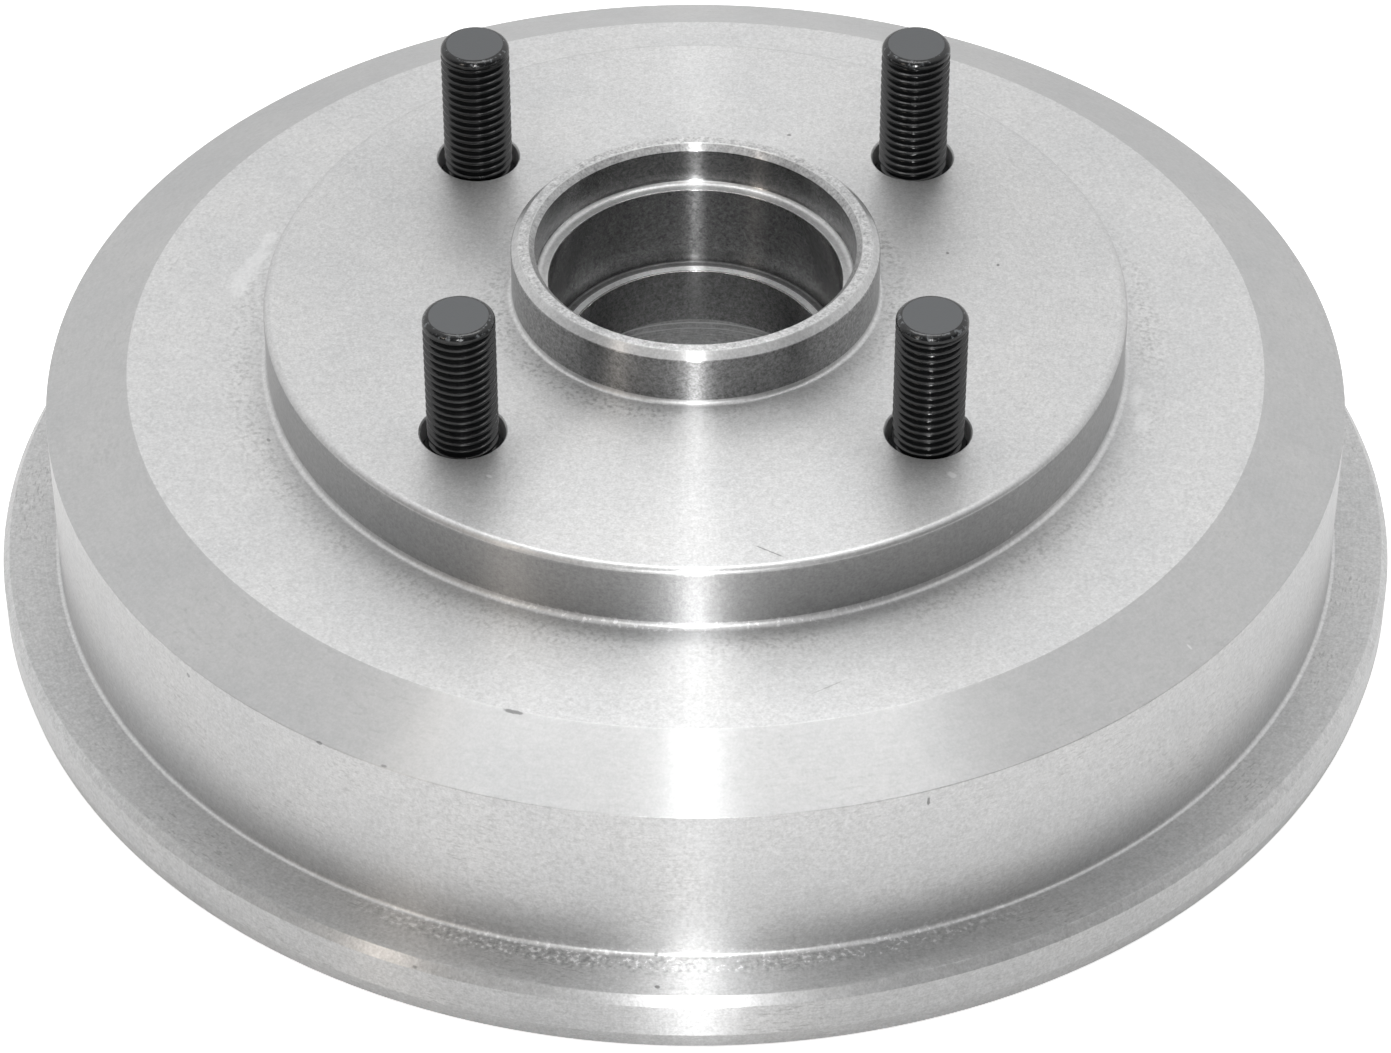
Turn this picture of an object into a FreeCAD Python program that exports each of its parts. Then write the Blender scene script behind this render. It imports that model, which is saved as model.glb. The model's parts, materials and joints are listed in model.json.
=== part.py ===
"""Brake drum with its wheel hub cast in one piece, and the wheel studs pressed into it.

Millimetres. The open rim lies on z = 0, and +Z is the drum's axis, towards the wheel.
"""
import FreeCAD
import Part
import Sketcher
import math
import os
from types import SimpleNamespace

V = FreeCAD.Vector

# The driving sizes. The heights are measured from the open rim.
SIZES = {
    # open rim and its flange
    "flange_diameter": 243.0,
    "flange_thickness": 11.0,
    "lip_taper_height": 3.2,
    "lip_taper_depth": 0.7,
    "flange_chamfer_height": 1.6,
    "flange_chamfer_depth": 1.2,
    # outside of the drum, from the flange up to the wheel face
    "wall_diameter": 222.9,
    "shoulder_height": 41.25,
    "crown_diameter": 194.6,
    "crown_height": 47.0,
    "boss_diameter": 146.8,
    "boss_chamfer": 1.0,
    "wheel_face_height": 59.0,
    # the collar that centres the wheel
    "pilot_diameter": 62.5,
    "pilot_chamfer": 1.35,
    "hub_height": 69.25,
    # inside of the drum, where the shoes work
    "friction_diameter": 203.2,
    "friction_width": 33.0,
    "mouth_chamfer": 1.5,
    "relief_depth": 1.0,
    "chamber_height": 39.5,
    "chamber_corner_bevel": 4.0,
    "recess_mouth_diameter": 136.0,
    "recess_floor_diameter": 132.0,
    "recess_height": 49.5,
    "recess_bevel": 2.0,
    # the hub barrel and its stepped bore
    "barrel_root_diameter": 74.0,
    "barrel_end_diameter": 72.0,
    "barrel_root_bevel": 4.0,
    "barrel_end_height": 11.0,
    "seal_seat_diameter": 62.0,
    "seal_seat_depth": 8.0,
    "seal_lead_in": 1.0,
    "inner_seat_diameter": 59.1,
    "inner_shoulder_height": 34.6,
    "middle_bore_diameter": 44.6,
    "outer_shoulder_height": 45.8,
    "outer_seat_diameter": 50.0,
    "cap_seat_diameter": 54.4,
    "cap_seat_depth": 7.85,
    "cap_lead_in": 1.1,
    # the wheel studs and their holes
    "stud_count": 4,
    "first_stud_angle": 45.0,
    "bolt_circle_diameter": 108.0,
    "stud_hole_diameter": 14.2,
    "spot_face_clearance": 0.85,
    "spot_face_depth": 0.5,
    "stud_head_diameter": 17.5,
    "stud_head_thickness": 3.8,
    "stud_length": 33.0,
    "thread_diameter": 11.9,
    "tip_chamfer": 1.1,
    "knurl_length": 5.0,
    "knurl_groove_depth": 0.45,
    "knurl_groove_width": 1.9,
    "knurl_groove_run_out": 0.2,
    "knurl_press_clearance": 0.0,
    "knurl_teeth": 16,
}


class Size:
    """A size from the sheet, or worked out from sizes: its number now, and the formula for it."""

    def __init__(self, number, formula):
        self.number = number
        self.formula = formula

    def joined(self, sign, other, number):
        other_formula = other.formula if isinstance(other, Size) else repr(other)
        return Size(number, f"({self.formula} {sign} {other_formula})")

    def __add__(self, other):
        return self.joined("+", other, self.number + number_of(other))

    def __sub__(self, other):
        return self.joined("-", other, self.number - number_of(other))

    def __mul__(self, other):
        return self.joined("*", other, self.number * number_of(other))

    def __truediv__(self, other):
        return self.joined("/", other, self.number / number_of(other))


def number_of(value):
    return value.number if isinstance(value, Size) else value


def cosine(angle):
    return Size(math.cos(math.radians(angle.number)), f"cos({angle.formula})")


def sine(angle):
    return Size(math.sin(math.radians(angle.number)), f"sin({angle.formula})")


doc = FreeCAD.newDocument("brake_drum")
sheet = doc.addObject("Spreadsheet::Sheet", "Sizes")
size = SimpleNamespace()
for row, (alias, value) in enumerate(SIZES.items(), start=1):
    sheet.set(f"A{row}", alias)
    sheet.set(f"B{row}", str(value))
    sheet.setAlias(f"B{row}", alias)
    setattr(size, alias, Size(value, f"Sizes.{alias}"))
doc.recompute()


def new_body(label):
    body = doc.addObject("PartDesign::Body", label)
    body.Label = label
    return body


def new_sketch(body, name, plane, height=None, angle=None):
    """A sketch on one of the body's own planes, lifted to a height and turned by an angle."""
    sketch = body.newObject("Sketcher::SketchObject", name)
    origin_plane = [feature for feature in body.Origin.OriginFeatures if feature.Role == plane][0]
    sketch.AttachmentSupport = [(origin_plane, "")]
    sketch.MapMode = "FlatFace"
    if height is not None:
        sketch.setExpression("AttachmentOffset.Base.z", height.formula)
    if angle is not None:
        sketch.setExpression("AttachmentOffset.Rotation.Angle", angle.formula)
    return sketch


def hold_point(sketch, geometry, end, x, y):
    """Holds one point of a sketch at x and y from its origin, or on the axis where one is nought."""
    for kind, axis, value in (("DistanceX", -2, x), ("DistanceY", -1, y)):
        number = number_of(value)
        if number == 0:
            sketch.addConstraint(Sketcher.Constraint("PointOnObject", geometry, end, axis))
        elif number > 0:
            index = sketch.addConstraint(Sketcher.Constraint(kind, -1, 1, geometry, end, number))
            sketch.setExpression(f"Constraints[{index}]", value.formula)
        else:
            index = sketch.addConstraint(Sketcher.Constraint(kind, geometry, end, -1, 1, -number))
            sketch.setExpression(f"Constraints[{index}]", (value * -1).formula)


def draw_outline(sketch, points):
    """A closed outline of straight lines through points, each a pair of sizes."""
    corners = [V(number_of(x), number_of(y), 0) for x, y in points]
    count = len(corners)
    for line in range(count):
        sketch.addGeometry(Part.LineSegment(corners[line], corners[(line + 1) % count]))
    for line in range(count):
        sketch.addConstraint(Sketcher.Constraint("Coincident", line, 2, (line + 1) % count, 1))
    for line, (x, y) in enumerate(points):
        hold_point(sketch, line, 1, x, y)


def draw_circle(sketch, x, y, diameter):
    circle = Part.Circle(V(number_of(x), number_of(y), 0), V(0, 0, 1), diameter.number / 2)
    sketch.addGeometry(circle)
    hold_point(sketch, 0, 3, x, y)
    index = sketch.addConstraint(Sketcher.Constraint("Diameter", 0, diameter.number))
    sketch.setExpression(f"Constraints[{index}]", diameter.formula)


def turn(body, kind, name, points):
    """Turns an outline of radius and height about the axis, to add (Revolution) or cut (Groove)."""
    sketch = new_sketch(body, f"{name}_outline", "XZ_Plane")
    draw_outline(sketch, points)
    feature = body.newObject(f"PartDesign::{kind}", name)
    feature.Profile = sketch
    feature.ReferenceAxis = (sketch, ["V_Axis"])
    feature.Angle = 360
    doc.recompute()


def cut_through(body, name, sketch, depth=None, upwards=False):
    """Cuts a sketch through the body, or to a depth."""
    pocket = body.newObject("PartDesign::Pocket", name)
    pocket.Profile = sketch
    pocket.Reversed = upwards
    if depth is None:
        pocket.Type = "ThroughAll"
    else:
        pocket.setExpression("Length", depth.formula)
    before = body.Shape.Volume
    doc.recompute()
    if body.Shape.Volume > before - 0.01:
        raise RuntimeError(f"{name} cut nothing")
    return pocket


def repeat_round(body, name, feature, count):
    """Repeats a cut evenly about the body's axis."""
    pattern = body.newObject("PartDesign::PolarPattern", name)
    pattern.Originals = [feature]
    pattern.Axis = (feature.Profile[0], ["N_Axis"])
    pattern.Angle = 360
    pattern.setExpression("Occurrences", count.formula)
    body.Tip = pattern
    doc.recompute()


def ring_edges(shape, rings):
    """The names of a shape's circular edges about the axis, found by radius and height."""
    names = []
    for index, edge in enumerate(shape.Edges, start=1):
        curve = edge.Curve
        if not isinstance(curve, Part.Circle) or math.hypot(curve.Center.x, curve.Center.y) > 0.001:
            continue
        for radius, height in rings:
            if abs(curve.Radius - number_of(radius)) + abs(curve.Center.z - number_of(height)) < 0.001:
                names.append(f"Edge{index}")
    return names


def bevel_edges(body, name, width, *rings):
    """Bevels the edges of the rings, each a radius and a height."""
    base = body.Tip
    names = ring_edges(base.Shape, rings)
    if len(names) < len(rings):
        raise RuntimeError(f"{name} found {len(names)} of {len(rings)} edges")
    feature = body.newObject("PartDesign::Chamfer", name)
    feature.Base = (base, names)
    feature.setExpression("Size", width.formula)
    body.Tip = feature
    doc.recompute()


# The drum and hub: one grey iron casting, turned all over outside and on its seats
flange_r = size.flange_diameter / 2
wall_r = size.wall_diameter / 2
crown_r = size.crown_diameter / 2
boss_r = size.boss_diameter / 2
pilot_r = size.pilot_diameter / 2
friction_r = size.friction_diameter / 2
relief_r = friction_r + size.relief_depth
recess_mouth_r = size.recess_mouth_diameter / 2
recess_floor_r = size.recess_floor_diameter / 2
barrel_root_r = size.barrel_root_diameter / 2
barrel_end_r = size.barrel_end_diameter / 2
seal_r = size.seal_seat_diameter / 2
inner_seat_r = size.inner_seat_diameter / 2
middle_r = size.middle_bore_diameter / 2
outer_seat_r = size.outer_seat_diameter / 2
cap_r = size.cap_seat_diameter / 2
cap_floor = size.hub_height - size.cap_seat_depth
seal_shoulder = size.barrel_end_height + size.seal_seat_depth

drum = new_body("drum")
turn(drum, "Revolution", "casting", [
    (0, 0),
    (flange_r - size.lip_taper_depth, 0),
    (flange_r, size.lip_taper_height),
    (flange_r, size.flange_thickness - size.flange_chamfer_height),
    (flange_r - size.flange_chamfer_depth, size.flange_thickness),
    (wall_r, size.flange_thickness),
    (wall_r, size.shoulder_height),
    (crown_r, size.crown_height),
    (boss_r, size.crown_height),
    (boss_r, size.wheel_face_height),
    (pilot_r, size.wheel_face_height),
    (pilot_r, size.hub_height),
    (0, size.hub_height),
])
turn(drum, "Groove", "shoe_chamber", [
    (0, 0),
    (friction_r, 0),
    (friction_r, size.friction_width),
    (relief_r, size.friction_width + size.relief_depth),
    (relief_r, size.chamber_height),
    (recess_mouth_r, size.chamber_height),
    (recess_floor_r, size.recess_height),
    (barrel_root_r, size.recess_height),
    (barrel_end_r, size.barrel_end_height),
    (0, size.barrel_end_height),
])
turn(drum, "Groove", "hub_bore", [
    (0, size.barrel_end_height),
    (seal_r, size.barrel_end_height),
    (seal_r, seal_shoulder),
    (inner_seat_r, seal_shoulder),
    (inner_seat_r, size.inner_shoulder_height),
    (middle_r, size.inner_shoulder_height),
    (middle_r, size.outer_shoulder_height),
    (outer_seat_r, size.outer_shoulder_height),
    (outer_seat_r, cap_floor),
    (cap_r, cap_floor),
    (cap_r, size.hub_height),
    (0, size.hub_height),
])
bevel_edges(drum, "chamber_corner", size.chamber_corner_bevel, (relief_r, size.chamber_height))
bevel_edges(drum, "recess_corners", size.recess_bevel,
            (recess_mouth_r, size.chamber_height), (recess_floor_r, size.recess_height))
bevel_edges(drum, "barrel_root", size.barrel_root_bevel, (barrel_root_r, size.recess_height))
bevel_edges(drum, "boss_edge", size.boss_chamfer, (boss_r, size.wheel_face_height))
bevel_edges(drum, "pilot_edge", size.pilot_chamfer, (pilot_r, size.hub_height))
bevel_edges(drum, "cap_lead_in_edge", size.cap_lead_in, (cap_r, size.hub_height))
bevel_edges(drum, "mouth_edge", size.mouth_chamfer, (friction_r, 0))
bevel_edges(drum, "seal_lead_in_edge", size.seal_lead_in, (seal_r, size.barrel_end_height))

# The stud holes through the wheel face, each with a spot face inside for the stud's head
bolt_circle_r = size.bolt_circle_diameter / 2
stud_seat = size.recess_height + size.spot_face_depth
hole_outline = new_sketch(drum, "stud_hole_outline", "XY_Plane", size.wheel_face_height,
                          size.first_stud_angle)
draw_circle(hole_outline, bolt_circle_r, 0, size.stud_hole_diameter)
stud_hole = cut_through(drum, "stud_hole", hole_outline)
repeat_round(drum, "stud_holes", stud_hole, size.stud_count)
spot_outline = new_sketch(drum, "spot_face_outline", "XY_Plane", stud_seat, size.first_stud_angle)
draw_circle(spot_outline, bolt_circle_r, 0,
            size.stud_head_diameter + size.spot_face_clearance * 2)
spot_face = cut_through(drum, "spot_face", spot_outline)
repeat_round(drum, "spot_faces", spot_face, size.stud_count)

# The wheel studs: headed, with a knurled shoulder that fills the hole, pressed in from inside.
# A stud's own origin is the bottom of its head.
head_r = size.stud_head_diameter / 2
knurl_r = size.stud_hole_diameter / 2 - size.knurl_press_clearance
thread_r = size.thread_diameter / 2
knurl_top = size.stud_head_thickness + size.knurl_length
stud_tip = size.stud_head_thickness + size.stud_length


def make_stud(number):
    """One stud, seated against its spot face and turned with its place on the bolt circle."""
    stud = new_body(f"wheel_stud_{number}")
    turn(stud, "Revolution", f"shank_{number}", [
        (0, 0),
        (head_r, 0),
        (head_r, size.stud_head_thickness),
        (knurl_r, size.stud_head_thickness),
        (knurl_r, knurl_top),
        (thread_r, knurl_top),
        (thread_r, stud_tip - size.tip_chamfer),
        (thread_r - size.tip_chamfer, stud_tip),
        (0, stud_tip),
    ])
    outline = new_sketch(stud, f"knurl_outline_{number}", "XY_Plane", size.stud_head_thickness)
    half_width = size.knurl_groove_width / 2
    groove_mouth = knurl_r + size.knurl_groove_run_out
    draw_outline(outline, [
        (knurl_r - size.knurl_groove_depth, 0),
        (groove_mouth, half_width * -1),
        (groove_mouth, half_width),
    ])
    groove = cut_through(stud, f"knurl_groove_{number}", outline, size.knurl_length, upwards=True)
    repeat_round(stud, f"knurl_{number}", groove, size.knurl_teeth)
    angle = size.first_stud_angle + Size(360, "360") / size.stud_count * (number - 1)
    stud.setExpression("Placement.Base.x", (bolt_circle_r * cosine(angle)).formula)
    stud.setExpression("Placement.Base.y", (bolt_circle_r * sine(angle)).formula)
    stud.setExpression("Placement.Base.z", (stud_seat - size.stud_head_thickness).formula)
    stud.setExpression("Placement.Rotation.Angle", angle.formula)
    return stud


studs = [make_stud(number) for number in range(1, SIZES["stud_count"] + 1)]

doc.recompute()
for item in doc.Objects:
    if "Invalid" in item.State or "Error" in item.State:
        raise RuntimeError(f"{item.Name} failed")
os.makedirs("parts", exist_ok=True)
for body in [drum, *studs]:
    if body.Shape.isNull() or not body.Shape.isValid() or len(body.Shape.Solids) != 1:
        raise RuntimeError(f"{body.Label} isn't one valid solid")
for body in [drum, *studs]:
    body.Shape.exportStep(f"parts/{body.Label}.step")
    box = body.Shape.BoundBox
    print(f"{body.Label}: {body.Shape.Volume:.1f} cubic mm, z {box.ZMin:.2f} to {box.ZMax:.2f}")
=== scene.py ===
import bpy
import json
import math
from mathutils import Matrix, Vector


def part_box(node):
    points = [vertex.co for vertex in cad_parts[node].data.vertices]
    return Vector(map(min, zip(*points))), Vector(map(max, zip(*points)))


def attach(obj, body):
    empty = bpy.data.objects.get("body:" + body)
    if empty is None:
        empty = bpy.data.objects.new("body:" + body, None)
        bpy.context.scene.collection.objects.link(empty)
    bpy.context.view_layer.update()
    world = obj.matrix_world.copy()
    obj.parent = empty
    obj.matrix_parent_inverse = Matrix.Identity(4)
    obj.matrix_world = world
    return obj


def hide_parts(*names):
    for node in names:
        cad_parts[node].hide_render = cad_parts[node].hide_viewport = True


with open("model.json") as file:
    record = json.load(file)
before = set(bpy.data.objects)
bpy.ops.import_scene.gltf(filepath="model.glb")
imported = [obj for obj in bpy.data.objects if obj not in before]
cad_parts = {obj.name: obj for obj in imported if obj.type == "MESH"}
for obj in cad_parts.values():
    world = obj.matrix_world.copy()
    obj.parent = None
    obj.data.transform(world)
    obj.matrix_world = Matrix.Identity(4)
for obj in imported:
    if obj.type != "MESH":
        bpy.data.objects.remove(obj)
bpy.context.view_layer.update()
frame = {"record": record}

# The drum and wheel hub: one grey iron casting. It is turned on a lathe outside, on its friction
# surface and in its bearing bore, and left as cast in the recess under the wheel face. Four holes
# are drilled through that face for the studs, each with a spot face inside for the stud's head.

MM = 0.001
mounts = {mount["name"]: mount for mount in frame["record"]["mounts"]}
drum_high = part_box("drum")[1]
flange_r = drum_high.x / MM
hub_height = drum_high.z / MM
wheel_face_height = mounts["wheel_face"]["pos_m"][2] / MM
pilot_r = mounts["hub_pilot"]["dims"]["r_mm"]
outer_seat_r = mounts["outer_bearing_seat"]["dims"]["r_mm"]
inner_seat_r = mounts["inner_bearing_seat"]["dims"]["r_mm"]
cap_seat_r = mounts["cap_seat"]["dims"]["r_mm"]
seal_seat_r = mounts["seal_seat"]["dims"]["r_mm"]
bolt_circle_r = mounts["wheel_studs"]["dims"]["pcd_mm"] / 2
stud_count = mounts["wheel_studs"]["dims"]["count"]
first_stud_angle = math.radians(45)
flange_thickness = 11.0
lip_taper_height = 3.2
lip_taper_depth = 0.7
flange_bevel_height = 1.6
flange_bevel_depth = 1.2
wall_r = 111.45
wall_root_round = 0.8
shoulder_height = 41.25
crown_r = 97.3
crown_height = 47.0
boss_r = 73.4
boss_root_round = 1.0
boss_edge_round = 1.2
pilot_root_round = 0.75
pilot_bevel = 1.35
cap_lead_in = 1.1
cap_seat_round = 1.1
cap_floor = 61.4
outer_seat_round = 0.3
seat_ledge_inner_r = 22.6
seat_ledge_outer_r = 23.8
outer_shoulder_height = 45.8
middle_bore_r = 22.3
middle_bore_bevel = 0.6
inner_shoulder_height = 34.6
seal_shoulder_height = 19.0
barrel_end_height = 11.0
seal_lead_in = 1.0
barrel_end_r = 36.0
barrel_root_r = 37.0
barrel_root_round = 4.0
recess_height = 49.5
recess_floor_r = 66.0
recess_mouth_r = 68.0
recess_round = 2.0
chamber_height = 39.5
chamber_round = 4.0
relief_depth = 1.0
friction_r = 101.6
friction_width = 33.0
mouth_bevel = 1.5
turned_edge_break = 0.15
cast_edge_break = 0.4
stud_hole_r = 7.1
stud_hole_bevel = 0.25
spot_face_r = 9.6
spot_face_height = 50.0
drum_facets = 288
stud_hole_facets = 64
round_facet_angle = math.radians(16)
round_margin = 0.15
seam_gap = 0.002
smooth_edge_angle = math.radians(32)


def turned_outline(corners, closed):
    """The points of an outline, given as corners of radius, height and round, in millimetres.

    A point a little way before and after each round keeps the flats beside it flat in the shading.
    """
    points = []
    count = len(corners)
    for index, (x, y, round_radius) in enumerate(corners):
        corner = Vector((x, y))
        if round_radius == 0:
            points.append(corner)
            continue
        before = Vector(corners[index - 1][:2]) - corner
        after = Vector(corners[(index + 1) % count][:2]) - corner
        turn = math.pi - before.angle(after)
        setback = round_radius * math.tan(turn / 2)
        before.normalize()
        after.normalize()
        centre = corner + (before + after).normalized() * round_radius / math.cos(turn / 2)
        start = corner + before * setback
        side = 1 if before.x * after.y - before.y * after.x < 0 else -1
        facets = max(2, math.ceil(turn / round_facet_angle))
        points.append(start + before * round_margin)
        for facet in range(facets + 1):
            angle = side * turn * facet / facets
            spoke = start - centre
            points.append(centre + Vector((spoke.x * math.cos(angle) - spoke.y * math.sin(angle),
                                           spoke.x * math.sin(angle) + spoke.y * math.cos(angle))))
        points.append(corner + after * (setback + round_margin))
    if closed:
        points.append(points[0])
    return points


def outline_object(name, points):
    """The points of an outline as a mesh of loose points in the XZ plane, in metres."""
    mesh = bpy.data.meshes.new(name)
    mesh.from_pydata([(x * MM, 0, y * MM) for x, y in points], [], [])
    outline = bpy.data.objects.new(name, mesh)
    bpy.context.scene.collection.objects.link(outline)
    return outline


class Wire:
    """An output of a node. Arithmetic on it adds Math nodes to its tree."""

    def __init__(self, tree, socket):
        self.tree = tree
        self.socket = socket

    def output(self, name):
        return Wire(self.tree, self.socket.node.outputs[name])

    def __add__(self, other):
        return self.tree.math("ADD", self, other)

    def __radd__(self, other):
        return self.tree.math("ADD", other, self)

    def __sub__(self, other):
        return self.tree.math("SUBTRACT", self, other)

    def __rsub__(self, other):
        return self.tree.math("SUBTRACT", other, self)

    def __mul__(self, other):
        return self.tree.math("MULTIPLY", self, other)

    def __rmul__(self, other):
        return self.tree.math("MULTIPLY", other, self)

    def __truediv__(self, other):
        return self.tree.math("DIVIDE", self, other)

    def __rtruediv__(self, other):
        return self.tree.math("DIVIDE", other, self)

    def __mod__(self, other):
        return self.tree.math("FLOORED_MODULO", self, other)

    def __rmod__(self, other):
        return self.tree.math("FLOORED_MODULO", other, self)

    def __pow__(self, other):
        return self.tree.math("POWER", self, other)

    def __rpow__(self, other):
        return self.tree.math("POWER", other, self)

    def __abs__(self):
        return self.tree.math("ABSOLUTE", self)

    def larger(self, other):
        return self.tree.math("MAXIMUM", self, other)

    def smaller(self, other):
        return self.tree.math("MINIMUM", self, other)

    def rise(self, low, high):
        """0 below low and 1 above high, with a smooth step between them."""
        return self.tree.node("ShaderNodeMapRange", {"interpolation_type": "SMOOTHSTEP"},
                              {"Value": self, "From Min": low, "From Max": high})

    def inside(self, low, high):
        """1 between low and high, and 0 outside them."""
        return self.tree.math("GREATER_THAN", self, low) * self.tree.math("LESS_THAN", self, high)

    def band(self, low, high, edge):
        """1 between low and high, and 0 outside them, with soft edges."""
        return self.rise(low - edge, low + edge) * (1 - self.rise(high - edge, high + edge))


class Tree:
    """A shader or geometry tree that is being wired."""

    def __init__(self, node_tree):
        self.node_tree = node_tree

    def node(self, kind, settings=None, sockets=None, output=0):
        """Adds a node: its settings first, then the value or the wire of each named socket."""
        node = self.node_tree.nodes.new(kind)
        for name, value in (settings or {}).items():
            setattr(node, name, value)
        for name, value in (sockets or {}).items():
            self.feed(node.inputs[name], value)
        return Wire(self, node.outputs[output]) if node.outputs else None

    def feed(self, socket, value):
        if isinstance(value, Wire):
            self.node_tree.links.new(value.socket, socket)
        else:
            socket.default_value = value

    def math(self, operation, *values):
        return self.node("ShaderNodeMath", {"operation": operation}, dict(enumerate(values)))


def geometry_tree(name, inputs):
    """A geometry tree with a mesh in and out, and the named inputs, each with its socket's type."""
    group = bpy.data.node_groups.new(name, "GeometryNodeTree")
    group.interface.new_socket("Outline", in_out="INPUT", socket_type="NodeSocketGeometry")
    for label, socket_type in inputs.items():
        group.interface.new_socket(label, in_out="INPUT", socket_type=socket_type)
    group.interface.new_socket("Piece", in_out="OUTPUT", socket_type="NodeSocketGeometry")
    tree = Tree(group)
    start = tree.node("NodeGroupInput")
    return tree, start


def finish_geometry(tree, geometry, material):
    """Shades the gentle edges smooth, sets the material and ends the tree."""
    edge_angle = tree.node("GeometryNodeInputMeshEdgeAngle")
    gentle = tree.node("FunctionNodeCompare", {"operation": "LESS_THAN"},
                       {"A": edge_angle, "B": smooth_edge_angle})
    shaded = tree.node("GeometryNodeSetShadeSmooth", {"domain": "EDGE"},
                       {"Geometry": geometry, "Shade Smooth": gentle})
    shaded = tree.node("GeometryNodeSetShadeSmooth", {"domain": "FACE"},
                       {"Geometry": shaded, "Shade Smooth": True})
    plain = tree.node("GeometryNodeRealizeInstances", {}, {"Geometry": shaded})
    finished = tree.node("GeometryNodeSetMaterial", {}, {"Geometry": plain, "Material": material})
    tree.node("NodeGroupOutput", {}, {"Piece": finished})


def round_grid(tree, rows, facets):
    """A grid to be bent round Z, with the row and the share of a full turn of each of its points."""
    grid = tree.node("GeometryNodeMeshGrid", {}, {"Vertices X": rows, "Vertices Y": facets + 1})
    outward = tree.node("GeometryNodeFlipFaces", {}, {"Mesh": grid})
    index = tree.node("GeometryNodeInputIndex")
    column = index % (facets + 1)
    return outward, (index - column) / (facets + 1), column / facets


def turn_on_lathe(tree, outline, first_point, points, facets):
    """Turns a run of an outline's points about Z, with one row of a grid for each point."""
    grid, row, share = round_grid(tree, points, facets)
    place = tree.node("GeometryNodeSampleIndex", {"data_type": "FLOAT_VECTOR"}, {
        "Geometry": outline,
        "Value": tree.node("GeometryNodeInputPosition"),
        "Index": row + first_point,
    })
    turned = tree.node("ShaderNodeVectorRotate", {"rotation_type": "Z_AXIS"},
                       {"Vector": place, "Angle": share * math.tau})
    return tree.node("GeometryNodeSetPosition", {}, {"Geometry": grid, "Position": turned})


def close_seams(tree, geometry):
    return tree.node("GeometryNodeMergeByDistance", {}, {"Geometry": geometry, "Distance": seam_gap * MM})


def bake_geometry(carrier, tree, values, name):
    """Runs a geometry tree on its outline and keeps the result as a plain mesh in a new object."""
    modifier = carrier.modifiers.new(name, "NODES")
    modifier.node_group = tree.node_tree
    for item in tree.node_tree.interface.items_tree:
        if item.in_out == "INPUT" and item.name in values:
            modifier[item.identifier] = values[item.name]
    evaluated = carrier.evaluated_get(bpy.context.evaluated_depsgraph_get())
    mesh = bpy.data.meshes.new_from_object(evaluated)
    mesh.name = name
    bpy.data.objects.remove(carrier)
    piece = bpy.data.objects.new(name, mesh)
    bpy.context.scene.collection.objects.link(piece)
    return piece


# The drum's section starts at the mouth of the friction surface. It runs out and up over the flange, the
# wall and the faces to the collar, down through the bore, and back along the barrel and the shoe chamber.
drum_corners = [
    (friction_r + mouth_bevel, 0, turned_edge_break),
    (flange_r - lip_taper_depth, 0, cast_edge_break),
    (flange_r, lip_taper_height, turned_edge_break),
    (flange_r, flange_thickness - flange_bevel_height, turned_edge_break),
    (flange_r - flange_bevel_depth, flange_thickness, turned_edge_break),
    (wall_r, flange_thickness, wall_root_round),
    (wall_r, shoulder_height, turned_edge_break),
    (crown_r, crown_height, turned_edge_break),
    (boss_r, crown_height, boss_root_round),
    (boss_r, wheel_face_height, boss_edge_round),
    (pilot_r, wheel_face_height, pilot_root_round),
    (pilot_r, hub_height - pilot_bevel, turned_edge_break),
    (pilot_r - pilot_bevel, hub_height, turned_edge_break),
    (cap_seat_r + cap_lead_in, hub_height, turned_edge_break),
    (cap_seat_r, hub_height - cap_lead_in, turned_edge_break),
    (cap_seat_r, cap_floor, cap_seat_round),
    (outer_seat_r, cap_floor, turned_edge_break),
    (outer_seat_r, outer_shoulder_height, outer_seat_round),
    (seat_ledge_outer_r, outer_shoulder_height, 0),
    (seat_ledge_inner_r, outer_shoulder_height, 0),
    (middle_bore_r, outer_shoulder_height, turned_edge_break),
    (middle_bore_r, inner_shoulder_height + middle_bore_bevel, turned_edge_break),
    (middle_bore_r + middle_bore_bevel, inner_shoulder_height, turned_edge_break),
    (inner_seat_r, inner_shoulder_height, turned_edge_break),
    (inner_seat_r, seal_shoulder_height, turned_edge_break),
    (seal_seat_r, seal_shoulder_height, turned_edge_break),
    (seal_seat_r, barrel_end_height + seal_lead_in, turned_edge_break),
    (seal_seat_r + seal_lead_in, barrel_end_height, turned_edge_break),
    (barrel_end_r, barrel_end_height, cast_edge_break),
    (barrel_root_r, recess_height, barrel_root_round),
    (recess_floor_r, recess_height, recess_round),
    (recess_mouth_r, chamber_height, recess_round),
    (friction_r + relief_depth, chamber_height, chamber_round),
    (friction_r + relief_depth, friction_width + relief_depth, turned_edge_break),
    (friction_r, friction_width, turned_edge_break),
    (friction_r, mouth_bevel, turned_edge_break),
]
drum_points = turned_outline(drum_corners, closed=True)

# A stud hole as its cutter: the spot face below, the hole, and the bevel at the wheel face.
cutter_points = turned_outline([
    (0, recess_height - barrel_root_round, 0),
    (spot_face_r, recess_height - barrel_root_round, 0),
    (spot_face_r, spot_face_height, 0),
    (stud_hole_r, spot_face_height, 0),
    (stud_hole_r, wheel_face_height - stud_hole_bevel, 0),
    (stud_hole_r + stud_hole_bevel * 2, wheel_face_height + stud_hole_bevel, 0),
    (0, wheel_face_height + stud_hole_bevel, 0),
], closed=False)


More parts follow.
